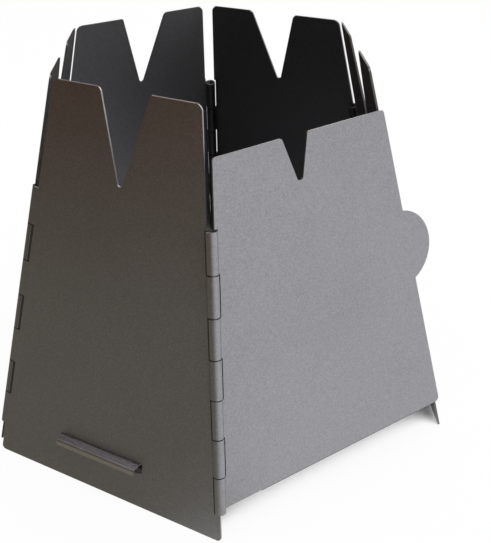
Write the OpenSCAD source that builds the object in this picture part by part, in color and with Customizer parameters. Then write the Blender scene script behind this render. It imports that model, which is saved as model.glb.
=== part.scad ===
// Folding six-sided twig stove, set up on the ground.
// Millimetres. The origin is on the ground at the middle of the hexagon, +Z is up,
// and the door faces -Y. Left and right are as seen from outside, facing a panel.

/* [Body] */
// Width across the flats at the ground
base_width = 127; // [124:0.5:136]
// Width across the flats at the top of the prongs
top_width = 76.2; // [72:0.2:84]
// Height of the walls
height = 101.6; // [97:0.2:110]
// Thickness of the stainless sheet
sheet = 0.5; // [0.4:0.05:0.6]

/* [Hinges] */
// Outside diameter of a rolled knuckle
knuckle_diameter = 3; // [2.8:0.1:3.2]
// Bottom end of every hinge, measured up the corner line
hinge_start = 8.6; // [8:0.1:9.6]
// Length of every hinge
hinge_length = 70.35; // [62:0.35:72]
// Gap between the ends of two knuckles
knuckle_gap = 0.3; // [0.15:0.05:0.4]
// Gap between a knuckle and the edge of the window it turns in
knuckle_clearance = 0.15; // [0.1:0.01:0.3]
// The same gap in the door and at the right end of the rear wall, which are cut close
snug_clearance = 0.06; // [0.05:0.01:0.2]
// The same gap in the right rear wall at the corner opposite the front hinge, where it is wider
rear_clearance = 0.2; // [0.15:0.01:0.5]
// Gap all round a hinge pin
pin_clearance = 0.05; // [0.03:0.01:0.08]
// Depth of the pin ends below the ends of the hinge
pin_recess = 1.2; // [0.3:0.1:2]
// Gap left in a knuckle where the rolled sheet ends
seam_gap = 0.3; // [0.2:0.05:0.4]
// How far the knuckles of the front hinge stand out past the place of the other knuckles
front_proud = 1.25; // [0.9:0.05:1.4]
// How far the front hinge lies off the corner line, towards the left front wall
front_shift = 1; // [0:0.05:1.1]

/* [Wall outline] */
// Width of the V notch at the top of a wall
notch_width = 13.5; // [10:0.5:16]
// Depth of the V notch of a wall
notch_depth = 21.9; // [16:0.1:24]
// Radius at the bottom of a V notch
notch_tip = 0.78; // [0.5:0.02:1]
// Radius of the soft corner beside a notch
soft_corner = 1.4; // [0.8:0.1:1.8]
// Radius of the crisp corner beside a notch
crisp_corner = 0.5; // [0.3:0.1:1]
// Radius of the outer top corners
prong_corner = 1.8; // [1:0.1:2.4]
// Radius of the bottom corners
foot_corner = 1.1; // [0.6:0.1:1.6]
// Inset of the right foot edges and of the close prong edges from the corner line
close_edge = 1.18; // [1:0.02:1.4]
// Inset of the left foot edges from the corner line
left_foot_edge = 1.63; // [1.2:0.01:1.8]
// Inset of the wide prong edges from the corner line
wide_edge = 2; // [1.8:0.05:2.2]
// Inset of the prong edge of the left front wall beside the door
front_prong_edge = 2.35; // [2:0.05:2.6]
// Inset of the prong edge of the rear wall at the corner opposite the front hinge
rear_prong_edge = 2.24; // [2:0.02:2.4]
// Inset of the prong edge of the right rear wall at the same corner
right_rear_prong_edge = 1.65; // [1.4:0.05:2]
// Inset of the prong edge of the rear wall at the far left corner
far_left_edge = 1.15; // [1:0.01:1.8]
// How far the left rear sheet lies inside the outer line of its knuckles
left_rear_set = 0.35; // [0:0.05:0.75]
// How far the right front sheet lies inside the outer line of its knuckles
right_front_set = 0.3; // [0:0.05:0.6]

/* [Door] */
// Height of the bottom edge of the door, up the slope
door_bottom = 9.75; // [9.4:0.05:12]
// Height of the top edge of the door at its free side, up the slope
door_top = 94.7; // [90:0.1:97]
// Fall of the top edge of the door towards the hinge
door_fall = 0.7; // [0:0.1:1.5]
// Reach of the free edge past the corner line
door_lap = 0.85; // [0.6:0.05:1.4]
// Gap between the closed door and the wall it shuts against
door_gap = 0.2; // [0.12:0.02:0.4]
// Reach of the door past the corner line, above the hinge
door_reach = 0.25; // [0:0.05:0.6]
// Width of the V notch of the door
door_notch_width = 7.2; // [5:0.1:9]
// Depth of the V notch of the door
door_notch_depth = 10.7; // [8:0.1:13]
// Radius at the bottom of the V notch of the door
door_notch_tip = 0.88; // [0.5:0.02:1]
// Sideways place of the V notch of the door
door_notch_shift = -2.1; // [-4:0.1:2]
// Radius of the corners beside the V notch of the door
door_notch_corner = 0.7; // [0.4:0.1:1.2]
// Radius of the outer top corners of the door
door_prong_corner = 1; // [0.5:0.1:1.6]
// Radius of the free bottom corner of the door
door_foot_corner = 1.2; // [0.5:0.1:1.6]
// Radius of the round thumb tab
thumb_radius = 10.25; // [8:0.25:12]
// Height of the thumb tab up the slope
thumb_height = 58.5; // [40:0.5:66]
// Reach of the thumb tab past the free edge
thumb_reach = 6.95; // [5:0.05:8]

/* [Floor] */
// Height of the hook line of the floor, up the slope
hook_height = 9.6; // [9:0.1:11]
// Outside radius of the rolled hook
hook_radius = 2.8; // [2.4:0.1:3.2]
// Reach of the hook out of its wall
hook_reach = 2.7; // [2.2:0.1:3.2]
// Drop of the lip at the end of the hook
hook_lip = 1.7; // [1.2:0.1:2]
// Width of the hook
hook_width = 24.4; // [16:0.2:30]
// Sideways place of the hook
hook_shift = -1.8; // [-4:0.1:4]
// Gap between the floor and the walls
floor_gap = 1.5; // [1.3:0.1:2.5]
// Gap in the floor at each end of the hook's bend
hook_relief = 0.8; // [0.5:0.1:1.5]
// Width of the locking tab
tab_width = 12; // [8:0.5:16]
// Diameter of the air holes
air_hole = 7; // [5:0.5:9]
// Spacing of the air holes
air_pitch = 15; // [13:0.5:17]

/* [Hidden] */
$fn = 64;
hair = 0.002;
knuckles = 7;
half_base = base_width / 2;
lean = atan((half_base - top_width / 2) / height);
slope = height / cos(lean);
// Half the width of a panel at the ground, and the angle of its side edges
half_side = half_base * tan(30);
side_angle = atan(tan(30) * sin(lean));
// Angle between the faces of two neighbouring panels
fold = acos(cos(lean) * cos(lean) * 0.5 + sin(lean) * sin(lean));
knuckle_radius = knuckle_diameter / 2;
axis_depth = knuckle_radius + 0.01;
bore_radius = knuckle_radius - sheet - 0.02;
pin_radius = bore_radius - pin_clearance;
knuckle_pitch = hinge_length / knuckles;
hinge_end = hinge_start + hinge_length;
// Inset of a hinge axis from the corner line, and its depth below the outer face
corner_axis = [axis_depth * tan(fold / 2), axis_depth];
wall_axis = front_axis(1);
door_axis = front_axis(-1);
// Insets of the panel edges from the corner line, where they face knuckles
close_window = window(knuckle_clearance, 0, corner_axis);
snug_window = window(snug_clearance, 0, corner_axis);
rear_window = window(rear_clearance, 0, corner_axis);
front_window = window(knuckle_clearance, 0, wall_axis);
door_window = window(snug_clearance, 0, door_axis);
left_rear_window = window(knuckle_clearance, left_rear_set, corner_axis);
right_front_window = window(knuckle_clearance, right_front_set, corner_axis);
feet = [left_foot_edge, close_edge];
// Gap between the ends of a hinge and the sheet above and below it, and a lap of joined sheets
end_gap = 0.25;
lap = 0.5;
// Angle from the underside of a sheet to the seam of its knuckles
seam_step = 12;
// Angle of the sloping top edge of the door
door_tilt = atan(door_fall / (2 * half_width(door_top, 0)));
shut_edge = (sheet + sheet * cos(fold)) / sin(fold) + door_gap;
// Rolled hook: middle radius, bend radius, and where the flat floor begins
hook_middle = hook_radius - sheet / 2;
bend_radius = 1;
bend_inward = hook_middle + bend_radius + bend_radius * sin(lean) + sheet / 2;
bend_height = hook_height - bend_radius * cos(lean);
floor_middle = bend_height * cos(lean) - bend_inward * sin(lean);
floor_under = floor_middle - sheet / 2;
floor_start = half_base - bend_height * sin(lean) - bend_inward * cos(lean);
// Outer faces of the walls at the level of the floor
floor_outer = half_base - (floor_middle + sheet / 2) * tan(lean);
floor_inner = floor_outer - sheet / cos(lean);
slot_high = hook_height + hook_radius + 0.35;
slot_low = slot_high - sheet - 2.7;
// Length of the slot past the two ends of the hook
slot_left = 0.4;
slot_right = 1;
lip_bend = 0.43;
shelf_start = (sheet / 2 - hook_middle * sin(lean)) / cos(lean);
shelf_end = shelf_start + hook_reach - lip_bend - sheet / 2;
// Locking slot: room under, over, left and right of the tab, and the tab's reach out of it
lock_under = 0.25;
lock_over = 1.9;
lock_left = 2.8;
lock_right = 0.5;
lock_low = floor_under / cos(lean) - lock_under;
lock_high = (floor_middle + sheet / 2) / cos(lean) + lock_over;
lock_reach = 0.4;
tab_corner = 0.6;
// Depth to which the corners of the floor are cut off, and at the two ends of the hooked side
corner_cut = 4.8;
hook_corner_cut = 8;
// Amount by which a rolled sheet is thinned beside the next one, so that no two faces coincide
tuck = 0.02;
steel = [0.62, 0.62, 0.63];
shade = [0.45, 0.44, 0.43];
bright = [0.75, 0.75, 0.77];

// Half width of a panel at a height up its slope, at an inset from the corner line
function half_width(up, inset) = half_side - up * tan(side_angle) - inset / cos(side_angle);

// Inset and depth of the front hinge's axis, seen from the left front wall (1) or the door (-1)
function front_axis(side) =
    let (depth = axis_depth - front_proud)
    [depth * tan(fold / 2) + side * front_shift * cos(fold / 2),
     depth - side * front_shift * sin(fold / 2)];

// Inset at which an edge clears the knuckles it faces, for a sheet set in by some depth
function window(clearance, set_in, axis) =
    let (rise = max(axis[1] - sheet - set_in, set_in - axis[1], 0))
    axis[0] + sqrt(pow(knuckle_radius + clearance, 2) - pow(rise, 2));

// A point from an origin at an angle and a distance
function polar(from, angle, far) = from + far * [cos(angle), sin(angle)];

// Place a panel: x along its width, y up its slope, z out of its outer face
module panel(turn) {
    rotate([0, 0, turn]) translate([0, -half_base, 0]) rotate([90 - lean, 0, 0]) children();
}

// Stand on a side edge of a panel: y up the corner line; side is 1 right, -1 left
module side_edge(side) {
    translate([side * half_side, 0, 0]) rotate([0, 0, side * side_angle]) children();
}

// What a rounded corner takes away; the angles point along the two edges.
// The arc passes its two edges by a hair, so that it crosses them and doesn't just touch them.
module corner_waste(at, first, second, radius) {
    half = abs(first - second) / 2;
    middle = (first + second) / 2;
    centre = polar(at, middle, radius / sin(half));
    run = radius / tan(half);
    difference() {
        polygon([polar(at, middle + 180, 0.3), polar(at, first, run), centre,
                 polar(at, second, run)]);
        translate(centre) circle(r = radius + hair);
    }
}

// A V notch with a round bottom, hanging down from the origin
module notch(width, depth, tip) {
    drop = depth - tip;
    half = atan2(width / 2, drop) - asin(tip / sqrt(pow(width / 2, 2) + pow(drop, 2)));
    touch = [tip * cos(half), -drop - tip * sin(half)];
    rim = [width / 2 + 2 * tan(half), 2];
    polygon([[-rim[0], rim[1]], [-touch[0], touch[1]], [touch[0], touch[1]], rim]);
    translate([0, -drop]) circle(r = tip);
}

// Angle of the notch sides from the middle line
function notch_angle(width, depth, tip) =
    atan2(width / 2, depth - tip)
    - asin(tip / sqrt(pow(width / 2, 2) + pow(depth - tip, 2)));

// Sheet between two side lines and two heights
module strip(left_inset, right_inset, low, high) {
    polygon([[-half_width(low, left_inset), low], [half_width(low, right_inset), low],
             [half_width(high, right_inset), high], [-half_width(high, left_inset), high]]);
}

// Flat outline of a wall. Each list holds a left and a right value: the insets of its edges
// along the hinges, of its prongs above them and of its feet below them, and the radii beside
// its notch. The left prong and foot join the end knuckles, which are rolled from the same edge.
module wall_outline(sides, prongs, feet, rounds) {
    foot_top = (hinge_start - end_gap) * cos(side_angle);
    prong_low = (hinge_end + end_gap) * cos(side_angle);
    side = notch_angle(notch_width, notch_depth, notch_tip);
    difference() {
        union() {
            strip(sides[0], sides[1], -lap, prong_low + lap);
            strip(feet[0], sides[1], -lap, foot_top + 2 * lap);
            strip(sides[0], feet[1], -lap, foot_top);
            strip(prongs[0], sides[1], prong_low - 2 * lap, prong_low + lap);
            strip(prongs[0], prongs[1], prong_low, slope + lap);
        }
        translate([0, slope]) notch(notch_width, notch_depth, notch_tip);
        corner_waste([-notch_width / 2, slope], 180, 270 + side, rounds[0]);
        corner_waste([notch_width / 2, slope], 0, -90 - side, rounds[1]);
        corner_waste([-half_width(slope, prongs[0]), slope], 0, -90 - side_angle, prong_corner);
        corner_waste([half_width(slope, prongs[1]), slope], 180, 270 + side_angle, prong_corner);
        corner_waste([-half_width(0, feet[0]), 0], 0, 90 - side_angle, foot_corner);
        corner_waste([half_width(0, feet[1]), 0], 180, 90 + side_angle, foot_corner);
    }
}

// One rolled knuckle with the strip of sheet it is rolled from; 1 is the top one.
// The sheet's edge is at an inset, and the sheet is set in from the knuckle's outer line.
// The axis is given by its inset and depth, and the sheet has nothing below its low edge.
module knuckle(side, number, inset, set_in, axis, low) {
    start = hinge_start + (knuckles - number) * knuckle_pitch + knuckle_gap / 2;
    length = knuckle_pitch - knuckle_gap;
    bare = max(low - start, 0);
    root = inset - axis[0] + lap;
    under_sheet = axis[1] - sheet - set_in;
    seam_touch = under_sheet > 0 ? knuckle_radius : bore_radius + sheet / 2;
    seam_turn = asin(under_sheet / seam_touch) - seam_step;
    side_edge(side) translate([-side * axis[0], start, -axis[1]]) difference() {
        union() {
            translate([side > 0 ? -root : 0, bare, under_sheet])
                cube([root, length - bare, sheet]);
            rotate([-90, 0, 0]) cylinder(h = length, r = knuckle_radius);
        }
        translate([0, -1, 0]) rotate([-90, 0, 0]) cylinder(h = length + 2, r = bore_radius);
        rotate([0, side * seam_turn, 0])
            translate([side > 0 ? -knuckle_diameter : 0, -1, -seam_gap / 2])
                cube([knuckle_diameter, length + 2, seam_gap]);
    }
}

// The knuckles of one edge: the left edge has the odd ones, the right edge the even ones
module knuckle_row(side, inset, set_in, axis, low) {
    for (number = [side > 0 ? 2 : 1 : 2 : knuckles])
        knuckle(side, number, inset, set_in, axis, low);
}

// Keep what is between the ground and the top of the walls
module trim() {
    difference() {
        children();
        translate([-base_width, -base_width, -20]) cube([2 * base_width, 2 * base_width, 20]);
        translate([-base_width, -base_width, height]) cube([2 * base_width, 2 * base_width, 20]);
    }
}

// A wall with hinges on both edges
module hinged_wall(turn, sides, prongs, feet, rounds, set_in, right_axis) {
    trim() panel(turn) {
        translate([0, 0, -set_in - sheet]) linear_extrude(sheet)
            wall_outline(sides, prongs, feet, rounds);
        knuckle_row(-1, sides[0], set_in, corner_axis, 0);
        knuckle_row(1, sides[1], set_in, right_axis, 0);
    }
}

module left_front_wall() {
    color(shade) difference() {
        hinged_wall(-60, [close_window, front_window], [wide_edge, front_prong_edge], feet,
                    [soft_corner, crisp_corner], 0, wall_axis);
        panel(-60) translate([hook_shift - hook_width / 2 - slot_left, slot_low, -sheet - 1])
            cube([hook_width + slot_left + slot_right, slot_high - slot_low, sheet + 2]);
    }
}

module left_rear_wall() {
    color(shade) hinged_wall(-120, [left_rear_window, left_rear_window], [close_edge, wide_edge],
                             [left_foot_edge, left_rear_window], [soft_corner, crisp_corner],
                             left_rear_set, corner_axis);
}

module rear_wall() {
    color(shade) hinged_wall(180, [snug_window, close_window], [rear_prong_edge, far_left_edge],
                             feet, [soft_corner, crisp_corner], 0, corner_axis);
}

module right_rear_wall() {
    color(shade) difference() {
        hinged_wall(120, [close_window, rear_window], [close_edge, right_rear_prong_edge],
                    feet, [soft_corner, soft_corner], 0, corner_axis);
        panel(120) translate([-tab_width / 2 - lock_left, lock_low, -sheet - 1])
            cube([tab_width + lock_left + lock_right, lock_high - lock_low, sheet + 2]);
    }
}

module right_front_wall() {
    color(steel) trim() panel(60) {
        translate([0, 0, -right_front_set - sheet]) linear_extrude(sheet)
            wall_outline([shut_edge, right_front_window], [shut_edge, close_edge],
                         [shut_edge, close_edge], [soft_corner, crisp_corner]);
        knuckle_row(1, right_front_window, right_front_set, corner_axis, 0);
    }
}

// A point on the sloping top edge of the door, and where that edge meets a side line
function door_rim(across) = [across, door_top - door_fall / 2 + across * tan(door_tilt)];
function door_corner(side, inset) =
    let (foot = half_side - inset / cos(side_angle), lean_in = tan(side_angle))
    door_rim(side * (foot - (door_top - door_fall / 2) * lean_in)
             / (1 + side * tan(door_tilt) * lean_in));

// Flat outline of the door with its round thumb tab
module door_outline() {
    above = (hinge_end + end_gap) * cos(side_angle);
    beside_knuckle = door_axis[0] + knuckle_radius - sheet / 2;
    side = notch_angle(door_notch_width, door_notch_depth, door_notch_tip);
    thumb_up = thumb_height / cos(side_angle);
    difference() {
        union() {
            strip(door_window, -door_lap, door_bottom, door_top + lap);
            strip(beside_knuckle, door_window, above - 2 * lap, above + lap);
            strip(-door_reach, door_window, above, door_top + lap);
            side_edge(1) translate([door_lap + thumb_reach - thumb_radius, thumb_up])
                circle(r = thumb_radius);
        }
        polygon([door_rim(-half_side), door_rim(half_side), [half_side, door_top + 5],
                 [-half_side, door_top + 5]]);
        translate(door_rim(door_notch_shift)) rotate(door_tilt) {
            notch(door_notch_width, door_notch_depth, door_notch_tip);
            corner_waste([-door_notch_width / 2, 0], 180, 270 + side, door_notch_corner);
            corner_waste([door_notch_width / 2, 0], 0, -90 - side, door_notch_corner);
        }
        corner_waste(door_corner(-1, -door_reach), door_tilt, -90 - side_angle, door_prong_corner);
        corner_waste(door_corner(1, -door_lap), 180 + door_tilt, 270 + side_angle,
                     door_prong_corner);
        corner_waste([half_width(door_bottom, -door_lap), door_bottom], 180, 90 + side_angle,
                     door_foot_corner);
    }
}

module door() {
    color(bright) panel(0) {
        translate([0, 0, -sheet]) linear_extrude(sheet) door_outline();
        knuckle_row(-1, door_window, 0, door_axis, door_bottom / cos(side_angle) + 0.1);
    }
}

// Flat outline of the floor, drawn with the hooked wall towards -y
module floor_outline() {
    reach = floor_inner - floor_gap;
    for_corner = floor_outer / cos(30);
    difference() {
        union() {
            polygon([for (k = [0 : 5], end = [-1, 1])
                let (angle = -60 + 60 * k, cut = k == 0 || k == 5 ? hook_corner_cut : corner_cut,
                     far = for_corner - cut, half = (reach / cos(30) - far) * tan(60))
                polar(polar([0, 0], angle, far), angle + 90, end * half)]);
            translate([-tab_width / 2, 0])
                square([tab_width, floor_outer + lock_reach]);
        }
        translate([hook_shift - hook_width / 2 - hook_relief, -floor_start - 10])
            square([hook_width + 2 * hook_relief, 10]);
        corner_waste([-tab_width / 2, floor_outer + lock_reach], 0, -90, tab_corner);
        corner_waste([tab_width / 2, floor_outer + lock_reach], 180, 270, tab_corner);
        circle(d = air_hole);
        for (k = [0 : 5]) rotate(60 * k) translate([air_pitch, 0]) circle(d = air_hole);
        for (k = [0 : 11]) rotate(30 * k + 15) translate([2 * air_pitch, 0]) circle(d = air_hole);
    }
}

// Side outline of the leg that bends from the rolled hook into the flat floor
module hook_leg() {
    steps = 8;
    turn = 90 + lean;
    centre = [hook_middle + bend_radius, 0];
    outer = bend_radius + sheet / 2 - tuck;
    inner = bend_radius - sheet / 2 + tuck;
    ahead = [cos(lean), sin(lean)];
    polygon(concat(
        [centre + [-outer, lap / 2]],
        [for (k = [0 : steps]) polar(centre, 180 + turn * k / steps, outer)],
        [polar(centre, 180 + turn, outer) + ahead, polar(centre, 180 + turn, inner) + ahead],
        [for (k = [steps : -1 : 0]) polar(centre, 180 + turn * k / steps, inner)],
        [centre + [-inner, lap / 2]]));
}

// Side outline of the level shelf outside the wall and the lip that hangs from it
module hook_shelf() {
    steps = 5;
    half = sheet / 2 - tuck;
    centre = [shelf_end, lip_bend - hook_middle];
    foot = hook_lip - hook_radius;
    polygon(concat(
        [[-lap / 2, -hook_middle - half]],
        [for (k = [0 : steps]) polar(centre, -90 + 90 * k / steps, lip_bend + half)],
        [[shelf_end + lip_bend + half, foot], [shelf_end + lip_bend - half, foot]],
        [for (k = [steps : -1 : 0]) polar(centre, -90 + 90 * k / steps, lip_bend - half)],
        [[-lap / 2, half - hook_middle]]));
}

module floor_plate() {
    color(steel) {
        rotate([0, 0, -60]) translate([0, 0, floor_under]) linear_extrude(sheet) floor_outline();
        panel(-60) translate([hook_shift - hook_width / 2, hook_height, -sheet / 2])
            rotate([0, 90, 0]) {
                rotate_extrude(angle = 90 + lean) translate([hook_radius - sheet, 0])
                    square([sheet, hook_width]);
                linear_extrude(hook_width) hook_leg();
                rotate([0, 0, 180 + lean]) linear_extrude(hook_width) hook_shelf();
            }
    }
}

// A plain hinge pin on a hinge axis at one edge of a panel
module pin(turn, side, axis) {
    color(bright) panel(turn) side_edge(side)
        translate([-side * axis[0], hinge_start + pin_recess, -axis[1]])
            rotate([-90, 0, 0]) cylinder(h = hinge_length - 2 * pin_recess, r = pin_radius);
}

module front_pin() { pin(-60, 1, wall_axis); }
module left_pin() { pin(-60, -1, corner_axis); }
module rear_left_pin() { pin(-120, -1, corner_axis); }
module rear_right_pin() { pin(180, -1, corner_axis); }
module right_pin() { pin(120, -1, corner_axis); }

left_front_wall();
door();
left_rear_wall();
rear_wall();
right_rear_wall();
right_front_wall();
floor_plate();
front_pin();
left_pin();
rear_left_pin();
rear_right_pin();
right_pin();
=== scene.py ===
"""Looks of a folding six-sided twig stove: blasted stainless sheet on a white sweep."""

import logging
import math
from dataclasses import dataclass, field, replace
from enum import Enum
from typing import Dict, List, Sequence, Tuple, Union

import bpy
import numpy as np
from mathutils import Matrix, Vector

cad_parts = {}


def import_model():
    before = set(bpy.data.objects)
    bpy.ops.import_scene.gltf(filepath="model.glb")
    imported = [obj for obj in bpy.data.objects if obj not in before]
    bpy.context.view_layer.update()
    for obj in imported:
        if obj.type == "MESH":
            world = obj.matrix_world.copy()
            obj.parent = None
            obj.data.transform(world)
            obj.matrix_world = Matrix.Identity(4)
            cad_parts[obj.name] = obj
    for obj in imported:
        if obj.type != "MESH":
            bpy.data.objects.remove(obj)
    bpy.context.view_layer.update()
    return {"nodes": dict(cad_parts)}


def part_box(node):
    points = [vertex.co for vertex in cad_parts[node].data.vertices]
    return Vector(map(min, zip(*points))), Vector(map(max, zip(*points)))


logging.basicConfig(level=logging.INFO, format="%(name)s: %(message)s")
log = logging.getLogger("twig_stove")

Colour = Tuple[float, float, float, float]
Point = Tuple[float, float, float]
Range = Tuple[float, float]
Socket = bpy.types.NodeSocket
Value = Union[Socket, Sequence[float], float]

MM = 0.001
IMAGE_HEIGHT = 543
UP = Vector((0.0, 0.0, 1.0))
WHITE: Colour = (1.0, 1.0, 1.0, 1.0)
# The middle of a factor, where most values of a noise lie
MIDDLE: Range = (0.3, 0.7)
# How strong each finer octave of a noise is against the one before
NOISE_ROUGHNESS = 0.55
# Height of a bump at full strength
BUMP_HEIGHT = 0.05 * MM


class Facing(Enum):
    """Which way each panel faces, in degrees round from the door."""

    DOOR = 0.0
    LEFT_FRONT = -60.0
    LEFT_REAR = -120.0
    REAR = 180.0
    RIGHT_REAR = 120.0
    RIGHT_FRONT = 60.0


class Blend(Enum):
    """What a mix node mixes, under Blender's name for it."""

    COLOUR = "RGBA"
    NUMBER = "FLOAT"


def tinted(colour: Colour, share: float) -> Colour:
    """A colour at a share of its brightness."""
    red, green, blue, alpha = colour
    return (red * share, green * share, blue * share, alpha)


def smooth_step(share: np.ndarray) -> np.ndarray:
    """Eases a share from nought to one with a level start and end."""
    held = np.clip(share, 0.0, 1.0)
    return held * held * (3.0 - 2.0 * held)


def put_material(piece: bpy.types.Object, material: bpy.types.Material) -> None:
    """Makes a material the only one of a piece."""
    piece.data.materials.clear()
    piece.data.materials.append(material)


def add_mesh(name: str, points: np.ndarray, faces: List[List[int]]) -> bpy.types.Object:
    """Makes a mesh object and puts it into the scene.

    Args:
        name: the object's name.
        points: the corners, one row each.
        faces: the corners' numbers round each face.

    Returns:
        The new object.
    """
    mesh = bpy.data.meshes.new(name)
    mesh.from_pydata(points.tolist(), [], faces)
    piece = bpy.data.objects.new(name, mesh)
    bpy.context.scene.collection.objects.link(piece)
    return piece


class NodeMaker:
    """Adds shader nodes to a tree and wires them."""

    def __init__(self, tree: bpy.types.NodeTree) -> None:
        """Takes the tree that the nodes go into."""
        self.tree = tree

    def add(self, kind: str) -> bpy.types.Node:
        """Adds a node of a kind."""
        return self.tree.nodes.new(kind)

    def feed(self, target: Socket, value: Value) -> None:
        """Links a socket to an input, or sets the input to a fixed value.

        Args:
            target: the input.
            value: the socket or the fixed value.
        """
        if isinstance(value, bpy.types.NodeSocket):
            self.tree.links.new(value, target)
        else:
            target.default_value = value

    def dot(self, socket: Socket, vector: Vector) -> Socket:
        """Dot product of a vector socket with a fixed vector.

        Args:
            socket: the vector socket.
            vector: the fixed vector.

        Returns:
            The product's socket.
        """
        node = self.add("ShaderNodeVectorMath")
        node.operation = "DOT_PRODUCT"
        self.feed(node.inputs[0], socket)
        self.feed(node.inputs[1], vector)
        return node.outputs["Value"]

    def calculate(self, operation: str, first: Value, second: Value = 0.0) -> Socket:
        """Calculates with one or two values.

        Args:
            operation: Blender's name for the operation.
            first: the first value.
            second: the second value, for an operation that has one.

        Returns:
            The result's socket.
        """
        node = self.add("ShaderNodeMath")
        node.operation = operation
        self.feed(node.inputs[0], first)
        self.feed(node.inputs[1], second)
        return node.outputs[0]

    def below(self, value: Socket, limit: float) -> Socket:
        """One where a value is below a limit, else nought."""
        return self.calculate("LESS_THAN", value, limit)

    def above(self, value: Socket, limit: float) -> Socket:
        """One where a value is above a limit, else nought."""
        return self.calculate("GREATER_THAN", value, limit)

    def both(self, first: Socket, second: Socket) -> Socket:
        """One where two masks are both one, else nought."""
        return self.calculate("MULTIPLY", first, second)

    def noise(self, place: Socket, scale: float, octaves: float) -> Socket:
        """Noise over a coordinate.

        Args:
            place: the coordinate.
            scale: cells per metre.
            octaves: how many finer layers are added.

        Returns:
            The noise value's socket.
        """
        node = self.add("ShaderNodeTexNoise")
        self.feed(node.inputs["Vector"], place)
        self.feed(node.inputs["Scale"], scale)
        self.feed(node.inputs["Detail"], octaves)
        self.feed(node.inputs["Roughness"], NOISE_ROUGHNESS)
        return node.outputs["Fac"]

    def spread(self, value: Socket, source: Range, result: Range) -> Socket:
        """Spreads one range of a value over another, held at both ends.

        Args:
            value: the value.
            source: the range that is spread.
            result: the range that it is spread over.

        Returns:
            The spread value's socket.
        """
        node = self.add("ShaderNodeMapRange")
        self.feed(node.inputs["Value"], value)
        self.feed(node.inputs["From Min"], source[0])
        self.feed(node.inputs["From Max"], source[1])
        self.feed(node.inputs["To Min"], result[0])
        self.feed(node.inputs["To Max"], result[1])
        return node.outputs["Result"]

    def grade(self, factor: Socket, low: Colour, high: Colour) -> Socket:
        """Goes from one colour to another over the middle of a factor.

        Args:
            factor: a noise, or another value from nought to one.
            low: colour where it is low.
            high: colour where it is high.

        Returns:
            The graded colour's socket.
        """
        node = self.add("ShaderNodeValToRGB")
        for stop, place, colour in zip(node.color_ramp.elements, MIDDLE, (low, high)):
            stop.position = place
            stop.color = colour
        self.feed(node.inputs["Fac"], factor)
        return node.outputs["Color"]

    def blend(self, kind: Blend, factor: Socket, first: Value, second: Value) -> Socket:
        """Mixes two colours or two numbers.

        Args:
            kind: what is mixed.
            factor: nought for the first, one for the second.
            first: the first colour or number.
            second: the second one.

        Returns:
            The mixture's socket.
        """
        node = self.add("ShaderNodeMix")
        node.data_type = kind.value
        self.feed(node.inputs["Factor"], factor)
        self.feed(node.inputs["A"], first)
        self.feed(node.inputs["B"], second)
        return node.outputs["Result"]

    def shade(self, colour: Socket, grain: Socket, depth: float) -> Socket:
        """Darkens and lightens a colour by a grain.

        Args:
            colour: the colour.
            grain: the noise.
            depth: how much the brightness changes over the grain.

        Returns:
            The grained colour's socket.
        """
        node = self.add("ShaderNodeMix")
        node.data_type = Blend.COLOUR.value
        node.blend_type = "MULTIPLY"
        tone = self.spread(grain, MIDDLE, (1.0 - depth / 2, 1.0 + depth / 2))
        self.feed(node.inputs["Factor"], 1.0)
        self.feed(node.inputs["A"], colour)
        self.feed(node.inputs["B"], tone)
        return node.outputs["Result"]

    def seen(self) -> Socket:
        """Tells rays from the camera, from metal and through glass from the rest.

        Returns:
            A socket that is one for those rays and nought for all others.
        """
        path = self.add("ShaderNodeLightPath")
        seen = path.outputs["Is Camera Ray"]
        for ray in ("Is Glossy Ray", "Is Transmission Ray"):
            seen = self.calculate("MAXIMUM", seen, path.outputs[ray])
        return seen


class SurfaceMaker(NodeMaker):
    """Makes a material that starts as one Principled surface."""

    def __init__(self, name: str) -> None:
        """Starts a node material.

        Args:
            name: the material's name.
        """
        self.material = bpy.data.materials.new(name)
        self.material.use_nodes = True
        super().__init__(self.material.node_tree)
        self.surface = self.tree.nodes["Principled BSDF"]

    def place(self) -> Socket:
        """The point's place on the object."""
        return self.add("ShaderNodeTexCoord").outputs["Object"]

    def normal(self) -> Socket:
        """The way the surface faces on the object."""
        return self.add("ShaderNodeTexCoord").outputs["Normal"]

    def set(self, name: str, value: Value) -> None:
        """Feeds a named input of the surface."""
        self.feed(self.surface.inputs[name], value)

    def bump(self, height: Socket, strength: float) -> None:
        """Bumps the surface.

        Args:
            height: the height, from nought to one.
            strength: share of the full bump.
        """
        node = self.add("ShaderNodeBump")
        self.feed(node.inputs["Strength"], strength)
        self.feed(node.inputs["Distance"], BUMP_HEIGHT)
        self.feed(node.inputs["Height"], height)
        self.set("Normal", node.outputs["Normal"])

    def show(self, shader: Socket) -> None:
        """Makes a shader the one that the material shows."""
        self.feed(self.tree.nodes["Material Output"].inputs["Surface"], shader)

    def whiten(self, share: float, near: float, shut_in: Range) -> None:
        """Shows plain white to the camera and to metal, but not where pieces shut the ground in.

        Args:
            share: share of white on open ground.
            near: distance within which a piece shuts the ground in.
            shut_in: openness of the ground below which no white shows, and above which all does.
        """
        shelter = self.add("ShaderNodeAmbientOcclusion")
        self.feed(shelter.inputs["Distance"], near)
        open_share = self.spread(shelter.outputs["AO"], shut_in, (0.0, share))
        white = self.add("ShaderNodeEmission")
        mixer = self.add("ShaderNodeMixShader")
        self.feed(mixer.inputs["Fac"], self.calculate("MULTIPLY", self.seen(), open_share))
        self.feed(mixer.inputs[1], self.surface.outputs["BSDF"])
        self.feed(mixer.inputs[2], white.outputs["Emission"])
        self.show(mixer.outputs["Shader"])


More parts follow.
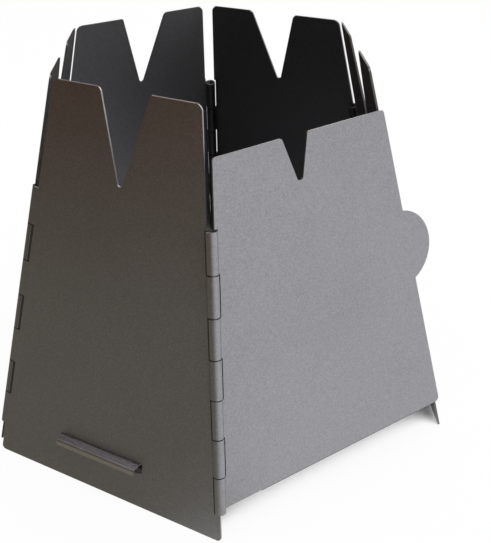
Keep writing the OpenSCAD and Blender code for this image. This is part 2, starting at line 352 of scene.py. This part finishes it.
@dataclass(frozen=True)
class Frustum:
    """The leaning six-sided body that all the panels lie on, in metres."""

    base_width: float = 127.0 * MM
    top_width: float = 76.2 * MM
    height: float = 101.6 * MM
    sheet: float = 0.5 * MM

    def lean(self) -> float:
        """Angle in radians by which a panel leans inwards."""
        return math.atan((self.base_width - self.top_width) / 2 / self.height)

    def outward(self, facing: Facing) -> Vector:
        """Works out which way a panel's outer face points.

        Args:
            facing: the panel's side of the body.

        Returns:
            Unit vector out of the face.
        """
        turn = math.radians(facing.value)
        lean = self.lean()
        flat = math.cos(lean)
        return Vector((math.sin(turn) * flat, -math.cos(turn) * flat, math.sin(lean)))

    def outer_reach(self) -> float:
        """Distance from the origin to the plane of any panel's outer face."""
        return self.base_width / 2 * math.cos(self.lean())


@dataclass(frozen=True)
class BlastedSteel:
    """Stainless sheet, bead-blasted outside and plain inside, with cut edges.

    The face colour carries a fine grain and a faint cloud; the grain also makes the bump.
    The edges are darker as painted shade, and take a painted highlight where they face up.
    """

    colour: Colour = (0.352, 0.352, 0.374, 1.0)
    cloud_colour: Colour = (0.332, 0.331, 0.351, 1.0)
    # Cut edges: darker as painted shade, with a painted highlight where they face up
    edge_shade_colour: Colour = (0.17, 0.165, 0.16, 1.0)
    edge_highlight_colour: Colour = (0.22, 0.215, 0.21, 1.0)
    # Inner face colour, lighter than the outside, so that where it is left unshaded it shows as
    # painted light
    plain_colour: Colour = (0.456, 0.456, 0.476, 1.0)
    # Painted shade on the backs of the knuckles and other deep faces turned away from the
    # outside
    back_shade_colour: Colour = (0.1, 0.1, 0.1, 1.0)
    roughness: Range = (0.42, 0.52)
    edge_roughness: float = 0.46
    # Cells per metre of the three noises, and the octaves of the fine ones and of the cloud
    grain_scale: float = 2600.0
    mottle_scale: float = 800.0
    cloud_scale: float = 34.0
    fine_octaves: float = 2.0
    cloud_octaves: float = 3.0
    speckle: float = 0.33
    mottle: float = 0.05
    bump: float = 0.05
    # How far past the sheet's two faces its edges still count, as a share of its thickness
    edge_slack: float = 0.12
    # Cosines to the outward direction: edges lie within the first, painted shade on the knuckle
    # backs lies below the second
    edge_slope: float = 0.5
    back_shade_slope: float = 0.2

    def material(
        self, name: str, outward: Vector, reach: float, sheet: float, inner_shade: float
    ) -> bpy.types.Material:
        """Builds the material for a flat sheet.

        A point is on a cut edge where its normal is square to the sheet's own normal
        and it lies between the planes of the sheet's two faces. It takes painted shade
        where it faces inwards, and a darker painted shade where it lies deeper than the
        sheet and turns away from the outside, as the backs of the knuckles do.

        Args:
            name: the material's name.
            outward: unit vector out of the sheet's outer face.
            reach: distance from the origin to the plane of that face.
            sheet: thickness of the sheet.
            inner_shade: share of painted shade that darkens the inner face.

        Returns:
            The finished material.
        """
        maker = SurfaceMaker(name)
        place = maker.place()
        normal = maker.normal()
        across = maker.dot(normal, outward)
        level = maker.dot(place, outward)
        slack = self.edge_slack * sheet
        inner_plane = reach - sheet - slack
        outer_plane = reach + slack
        steep = maker.below(maker.calculate("ABSOLUTE", across), self.edge_slope)
        within = maker.both(maker.above(level, inner_plane), maker.below(level, outer_plane))
        edge = maker.both(steep, within)
        inside = maker.below(across, -self.edge_slope)
        deep = maker.below(level, inner_plane)
        # Painted shade where the sheet lies deep and turns away from the outside
        back_shade_mask = maker.both(deep, maker.below(across, self.back_shade_slope))
        grain = maker.noise(place, self.grain_scale, self.fine_octaves)
        mottle = maker.noise(place, self.mottle_scale, self.fine_octaves)
        cloud = maker.noise(place, self.cloud_scale, self.cloud_octaves)
        outside = maker.grade(cloud, self.colour, self.cloud_colour)
        # Painted shade on the inner face, a share for each panel
        inner_shaded = tinted(self.plain_colour, 1.0 - inner_shade)
        lined = maker.blend(Blend.COLOUR, inside, outside, inner_shaded)
        back_shaded = maker.blend(Blend.COLOUR, back_shade_mask, lined, self.back_shade_colour)
        speckled = maker.shade(maker.shade(back_shaded, grain, self.speckle), mottle, self.mottle)
        upward = maker.dot(normal, UP)
        # Cut edges: painted shade, grading to a painted highlight as they face up
        cut = maker.grade(upward, self.edge_shade_colour, self.edge_highlight_colour)
        maker.set("Base Color", maker.blend(Blend.COLOUR, edge, speckled, cut))
        rough = maker.spread(grain, MIDDLE, self.roughness)
        maker.set("Roughness", maker.blend(Blend.NUMBER, edge, rough, self.edge_roughness))
        maker.set("Metallic", 1.0)
        maker.bump(grain, self.bump)
        return maker.material


@dataclass(frozen=True)
class DrawnWire:
    """Bright drawn wire of the hinge pins, with a fine grain."""

    name: str = "drawn_wire"
    colour: Colour = (0.55, 0.55, 0.56, 1.0)
    dark_share: float = 0.8
    roughness: Range = (0.26, 0.4)
    grain_scale: float = 4000.0
    octaves: float = 2.0
    bump: float = 0.03

    def material(self) -> bpy.types.Material:
        """Builds the material, whose grain sets the colour, the roughness and the bump.

        Returns:
            The finished material.
        """
        maker = SurfaceMaker(self.name)
        grain = maker.noise(maker.place(), self.grain_scale, self.octaves)
        dark = tinted(self.colour, self.dark_share)
        maker.set("Base Color", maker.grade(grain, self.colour, dark))
        maker.set("Roughness", maker.spread(grain, MIDDLE, self.roughness))
        maker.set("Metallic", 1.0)
        maker.bump(grain, self.bump)
        return maker.material


@dataclass
class Shell:
    """The walls, the door and the floor: flat sheets that keep their solid's shape.

    The door's and the left front wall's cut edges carry the brightest painted highlights.
    """

    frustum: Frustum
    steel: BlastedSteel
    panels: Dict[str, Facing] = field(
        default_factory=lambda: {
            "left_front_wall": Facing.LEFT_FRONT,
            "left_rear_wall": Facing.LEFT_REAR,
            "rear_wall": Facing.REAR,
            "right_rear_wall": Facing.RIGHT_REAR,
            "right_front_wall": Facing.RIGHT_FRONT,
            "door": Facing.DOOR,
        }
    )
    # Brighter colours of some panels' cut edges, as painted highlights, and of the same edges
    # where they face up
    edge_highlights: Dict[str, Tuple[Colour, Colour]] = field(
        default_factory=lambda: {
            "door": ((0.35, 0.35, 0.35, 1.0), (0.95, 0.94, 0.93, 1.0)),
            "left_front_wall": ((0.62, 0.6, 0.58, 1.0), (0.62, 0.6, 0.58, 1.0)),
        }
    )
    # How far two sheets lie inside the plane of the other panels
    set_in: Dict[str, float] = field(
        default_factory=lambda: {"left_rear_wall": 0.35 * MM, "right_front_wall": 0.3 * MM}
    )
    # Share of painted shade that darkens each inner face; the rear wall's share of nought leaves
    # its lighter inner face as painted light
    inner_shade: Dict[str, float] = field(
        default_factory=lambda: {
            "left_front_wall": 0.4,
            "left_rear_wall": 0.4,
            "rear_wall": 0.0,
            "right_rear_wall": 0.66,
            "right_front_wall": 0.4,
            "door": 0.3,
            "floor_plate": 0.3,
        }
    )
    # Depth of the painted highlight along the lip at the top of the floor's hook, and its colour
    hook_highlight_depth: float = 1.7 * MM
    hook_highlight_colour: Colour = (0.5, 0.49, 0.48, 1.0)

    def dress_panel(self, name: str, piece: bpy.types.Object) -> None:
        """Gives a panel the steel that knows which way the panel faces.

        Args:
            name: the panel's name.
            piece: its object.
        """
        plain_edges = (self.steel.edge_shade_colour, self.steel.edge_highlight_colour)
        edge, up_highlight = self.edge_highlights.get(name, plain_edges)
        finish = replace(self.steel, edge_shade_colour=edge, edge_highlight_colour=up_highlight)
        outward = self.frustum.outward(self.panels[name])
        reach = self.frustum.outer_reach() - self.set_in.get(name, 0.0)
        put_material(
            piece,
            finish.material(
                name + "_steel", outward, reach, self.frustum.sheet, self.inner_shade[name]
            ),
        )
        log.info("dressed %s", name)

    def dress_floor(self, name: str, piece: bpy.types.Object) -> None:
        """Gives the floor plate the same steel facing up, with a painted highlight along the lip
        of its hook.

        Args:
            name: the plate's name.
            piece: its object.
        """
        finish = replace(
            self.steel, edge_shade_colour=self.hook_highlight_colour, edge_highlight_colour=self.hook_highlight_colour
        )
        hook_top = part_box("floor_plate")[1].z
        put_material(
            piece,
            finish.material(name + "_steel", UP, hook_top, self.hook_highlight_depth, self.inner_shade[name]),
        )
        log.info("dressed %s", name)

    def dress(self, nodes: Dict[str, bpy.types.Object]) -> None:
        """Dresses the six panels and then the floor plate.

        Args:
            nodes: the frame's objects by name.
        """
        for name in self.panels:
            self.dress_panel(name, nodes[name])
        self.dress_floor("floor_plate", nodes["floor_plate"])


@dataclass
class HingePins:
    """The five plain wires that the knuckles turn on."""

    wire: DrawnWire
    names: Sequence[str] = (
        "front_pin",
        "left_pin",
        "rear_left_pin",
        "rear_right_pin",
        "right_pin",
    )

    def dress(self, nodes: Dict[str, bpy.types.Object]) -> None:
        """Gives every pin the drawn wire's finish.

        Args:
            nodes: the frame's objects by name.
        """
        material = self.wire.material()
        for name in self.names:
            put_material(nodes[name], material)
            log.info("dressed %s", name)


@dataclass(frozen=True)
class Camera:
    """Camera at the photograph's viewing angle, with angles in degrees.

    It stands back from its target, slides sideways and up without turning, and rolls about
    its own line of sight.
    """

    target: Point = (0.0, 0.0, 50.0 * MM)
    azimuth: float = -31.8
    elevation: float = 31.345
    distance: float = 225.83 * MM
    slide_right: float = 5.92 * MM
    slide_up: float = -10.37 * MM
    roll: float = -0.864
    # Focal length, and where the line of sight meets the picture from its middle, in pixels
    focal_pixels: float = 771.6
    centre_x: float = -9.79
    centre_y: float = -14.69
    sensor_width: float = 36.0
    clip_start: float = 10.0 * MM
    clip_end: float = 50.0

    def pose(self) -> Matrix:
        """Works out where the camera stands and how it is turned.

        Returns:
            A matrix of its right, up and backward axes and its place.
        """
        turn = math.radians(self.azimuth)
        rise = math.radians(self.elevation)
        roll = math.radians(self.roll)
        flat = math.cos(rise)
        back = Vector((math.sin(turn) * flat, -math.cos(turn) * flat, math.sin(rise)))
        right = Vector((math.cos(turn), math.sin(turn), 0.0))
        up = back.cross(right)
        slide = right * self.slide_right + up * self.slide_up
        place = Vector(self.target) + slide + back * self.distance
        side = right * math.cos(roll) + up * math.sin(roll)
        head = up * math.cos(roll) - right * math.sin(roll)
        axes = Matrix((side, head, back)).transposed().to_4x4()
        return Matrix.Translation(place) @ axes

    def build(self) -> None:
        """Adds the camera and makes it the scene's own."""
        data = bpy.data.cameras.new("camera")
        data.sensor_fit = "AUTO"
        data.sensor_width = self.sensor_width
        data.lens = self.focal_pixels * self.sensor_width / IMAGE_HEIGHT
        data.shift_x = -self.centre_x / IMAGE_HEIGHT
        data.shift_y = self.centre_y / IMAGE_HEIGHT
        data.clip_start = self.clip_start
        data.clip_end = self.clip_end
        camera = bpy.data.objects.new("camera", data)
        camera.matrix_world = self.pose()
        bpy.context.scene.collection.objects.link(camera)
        bpy.context.scene.camera = camera
        log.info("camera placed")


@dataclass(frozen=True)
class Sweep:
    """White surroundings, and the pale paper floor that the stove stands on."""

    world_fill: float = 0.7
    rings: Sequence[float] = (0.3, 1.0, 3.0)
    sides: int = 96
    drop: float = 0.2 * MM
    paper_dark: Colour = (0.93, 0.93, 0.93, 1.0)
    paper_light: Colour = (0.95, 0.95, 0.95, 1.0)
    paper_scale: float = 900.0
    paper_octaves: float = 2.0
    paper_roughness: float = 0.9
    paper_gloss: float = 0.1
    whitening: float = 0.93
    shelter: float = 40.0 * MM
    shut_in: Range = (0.1, 0.3)

    def world(self) -> None:
        """White to the camera and to reflections, and a softer fill for matt surfaces."""
        world = bpy.data.worlds.new("sweep")
        bpy.context.scene.world = world
        world.use_nodes = True
        maker = NodeMaker(world.node_tree)
        background = world.node_tree.nodes["Background"]
        strength = maker.spread(maker.seen(), (0.0, 1.0), (self.world_fill, 1.0))
        maker.feed(background.inputs["Color"], WHITE)
        maker.feed(background.inputs["Strength"], strength)

    def paper(self) -> bpy.types.Material:
        """Makes matt paper with a faint fibre, whitened where it lies open.

        Returns:
            The paper's material.
        """
        maker = SurfaceMaker("sweep_paper")
        fibre = maker.noise(maker.place(), self.paper_scale, self.paper_octaves)
        maker.set("Base Color", maker.grade(fibre, self.paper_dark, self.paper_light))
        maker.set("Roughness", self.paper_roughness)
        maker.set("Specular IOR Level", self.paper_gloss)
        maker.whiten(self.whitening, self.shelter, self.shut_in)
        return maker.material

    def floor(self) -> None:
        """A wide disc under the stove: a fan of triangles, then rings of four-sided faces.

        Its points are a grid in angle and radius, after one point in the middle.
        """
        angle = np.linspace(0.0, 2.0 * math.pi, self.sides, endpoint=False)
        spin, far = np.meshgrid(angle, self.rings)
        depth = np.full_like(far, -self.drop)
        grid = np.stack([far * np.cos(spin), far * np.sin(spin), depth], axis=-1)
        points = np.vstack([[0.0, 0.0, -self.drop], grid.reshape(-1, 3)])
        here = 1 + np.arange(self.sides)
        following = np.roll(here, -1)
        faces = np.stack([np.zeros_like(here), here, following], axis=1).tolist()
        for ring in range(len(self.rings) - 1):
            inner = ring * self.sides
            outer = inner + self.sides
            corners = [inner + here, outer + here, outer + following, inner + following]
            faces += np.stack(corners, axis=1).tolist()
        floor = add_mesh("floor", points, faces)
        put_material(floor, self.paper())
        log.info("floor laid")


@dataclass(frozen=True)
class Card:
    """A dark card that curves round the left side and lies down towards the stove.

    Only reflections see it. Its angles are in degrees round from the door.
    """

    start: float = 50.0 * MM
    radius: float = 300.0 * MM
    bend: float = 60.0 * MM
    height: float = 800.0 * MM
    span: Range = (-215.0, 0.0)
    # Where the card starts to pale towards the door, at the floor and higher up
    open_low: float = -54.0
    open_high: float = -40.0
    # Height over which the card turns from its low colour to its high one
    fade: float = 130.0 * MM
    low_colour: Colour = (0.256, 0.243, 0.197, 1.0)
    high_colour: Colour = (0.083, 0.026, 0.0, 1.0)
    flat_points: int = 7
    bend_points: int = 9
    upright_points: int = 20
    round_points: int = 97
    sink: float = 0.1 * MM

    def profile(self) -> Tuple[np.ndarray, np.ndarray]:
        """Profile that runs out along the floor, turns up in a quarter circle and stands.

        Returns:
            The distances from the stove's axis, and the heights.
        """
        turn = np.linspace(0.0, math.pi / 2, self.bend_points)
        flat_end = self.radius - self.bend
        flat = np.linspace(self.start, flat_end, self.flat_points, endpoint=False)
        upright = np.linspace(self.bend, self.height, self.upright_points + 1)[1:]
        wall = np.full_like(upright, self.radius)
        far = np.concatenate([flat, flat_end + self.bend * np.sin(turn), wall])
        high = np.concatenate([np.zeros_like(flat), self.bend * (1 - np.cos(turn)), upright])
        return far, high

    def tones(self, angle: np.ndarray, high: np.ndarray) -> np.ndarray:
        """Colours that fade from low to high with height, then to white towards the door.

        Args:
            angle: each point's angle round the stove.
            high: each point's height.

        Returns:
            The colour of each point.
        """
        rise = smooth_step(high / self.fade)
        opening = self.open_low * (1 - rise) + self.open_high * rise
        opened = smooth_step((angle - opening) / (self.span[1] - opening))[..., None]
        share = rise[..., None]
        dark = np.array(self.low_colour) * (1 - share) + np.array(self.high_colour) * share
        return dark + (np.array(WHITE) - dark) * opened

    def cloth(self) -> bpy.types.Material:
        """Makes a cloth that gives off the tone that each point of the card carries.

        Returns:
            The cloth's material.
        """
        maker = SurfaceMaker("card_cloth")
        maker.tree.nodes.remove(maker.surface)
        tone = maker.add("ShaderNodeAttribute")
        tone.attribute_name = "tone"
        glow = maker.add("ShaderNodeEmission")
        maker.feed(glow.inputs["Color"], tone.outputs["Color"])
        maker.show(glow.outputs["Emission"])
        return maker.material

    def build(self) -> None:
        """Carries the profile round the stove through the card's angles."""
        profile_far, profile_high = self.profile()
        round_stove = np.linspace(*self.span, self.round_points)
        angle, far = np.meshgrid(round_stove, profile_far)
        high = np.repeat(profile_high[:, None], self.round_points, axis=1)
        spin = np.radians(angle)
        points = np.stack([np.sin(spin) * far, -np.cos(spin) * far, high - self.sink], axis=-1)
        corner = np.arange(angle.size).reshape(angle.shape)
        faces = np.stack(
            [corner[:-1, :-1], corner[:-1, 1:], corner[1:, 1:], corner[1:, :-1]], axis=-1
        )
        card = add_mesh("card", points.reshape(-1, 3), faces.reshape(-1, 4).tolist())
        tone = card.data.attributes.new("tone", "FLOAT_COLOR", "POINT")
        tone.data.foreach_set("color", self.tones(angle, high).ravel())
        put_material(card, self.cloth())
        card.visible_camera = False
        card.visible_diffuse = False
        card.visible_shadow = False
        log.info("card placed")


@dataclass(frozen=True)
class SoftLamp:
    """A square lamp above the stove: its place, the point it faces, its side and its watts."""

    name: str = "top_lamp"
    place: Point = (0.2, -0.1, 1.1)
    aim: Point = (0.0, 0.0, 0.0)
    side: float = 0.8
    power: float = 5.0

    def build(self) -> None:
        """Adds the lamp and turns it towards its aim."""
        data = bpy.data.lights.new(self.name, "AREA")
        data.shape = "SQUARE"
        data.size = self.side
        data.energy = self.power
        lamp = bpy.data.objects.new(self.name, data)
        lamp.location = self.place
        way = Vector(self.aim) - Vector(self.place)
        lamp.rotation_euler = way.to_track_quat("-Z", "Y").to_euler()
        bpy.context.scene.collection.objects.link(lamp)
        log.info("lamp hung")


@dataclass
class Studio:
    """Camera, white sweep, dark card and soft lamp."""

    camera: Camera = field(default_factory=Camera)
    sweep: Sweep = field(default_factory=Sweep)
    card: Card = field(default_factory=Card)
    lamp: SoftLamp = field(default_factory=SoftLamp)

    def build(self) -> None:
        """Sets up everything that isn't the stove."""
        self.camera.build()
        self.sweep.world()
        self.sweep.floor()
        self.card.build()
        self.lamp.build()
        bpy.context.scene.view_settings.view_transform = "Standard"


def main() -> None:
    """Loads the frame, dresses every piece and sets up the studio."""
    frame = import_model()
    nodes = frame["nodes"]
    Shell(Frustum(), BlastedSteel()).dress(nodes)
    HingePins(DrawnWire()).dress(nodes)
    Studio().build()


if __name__ == "__main__":
    main()
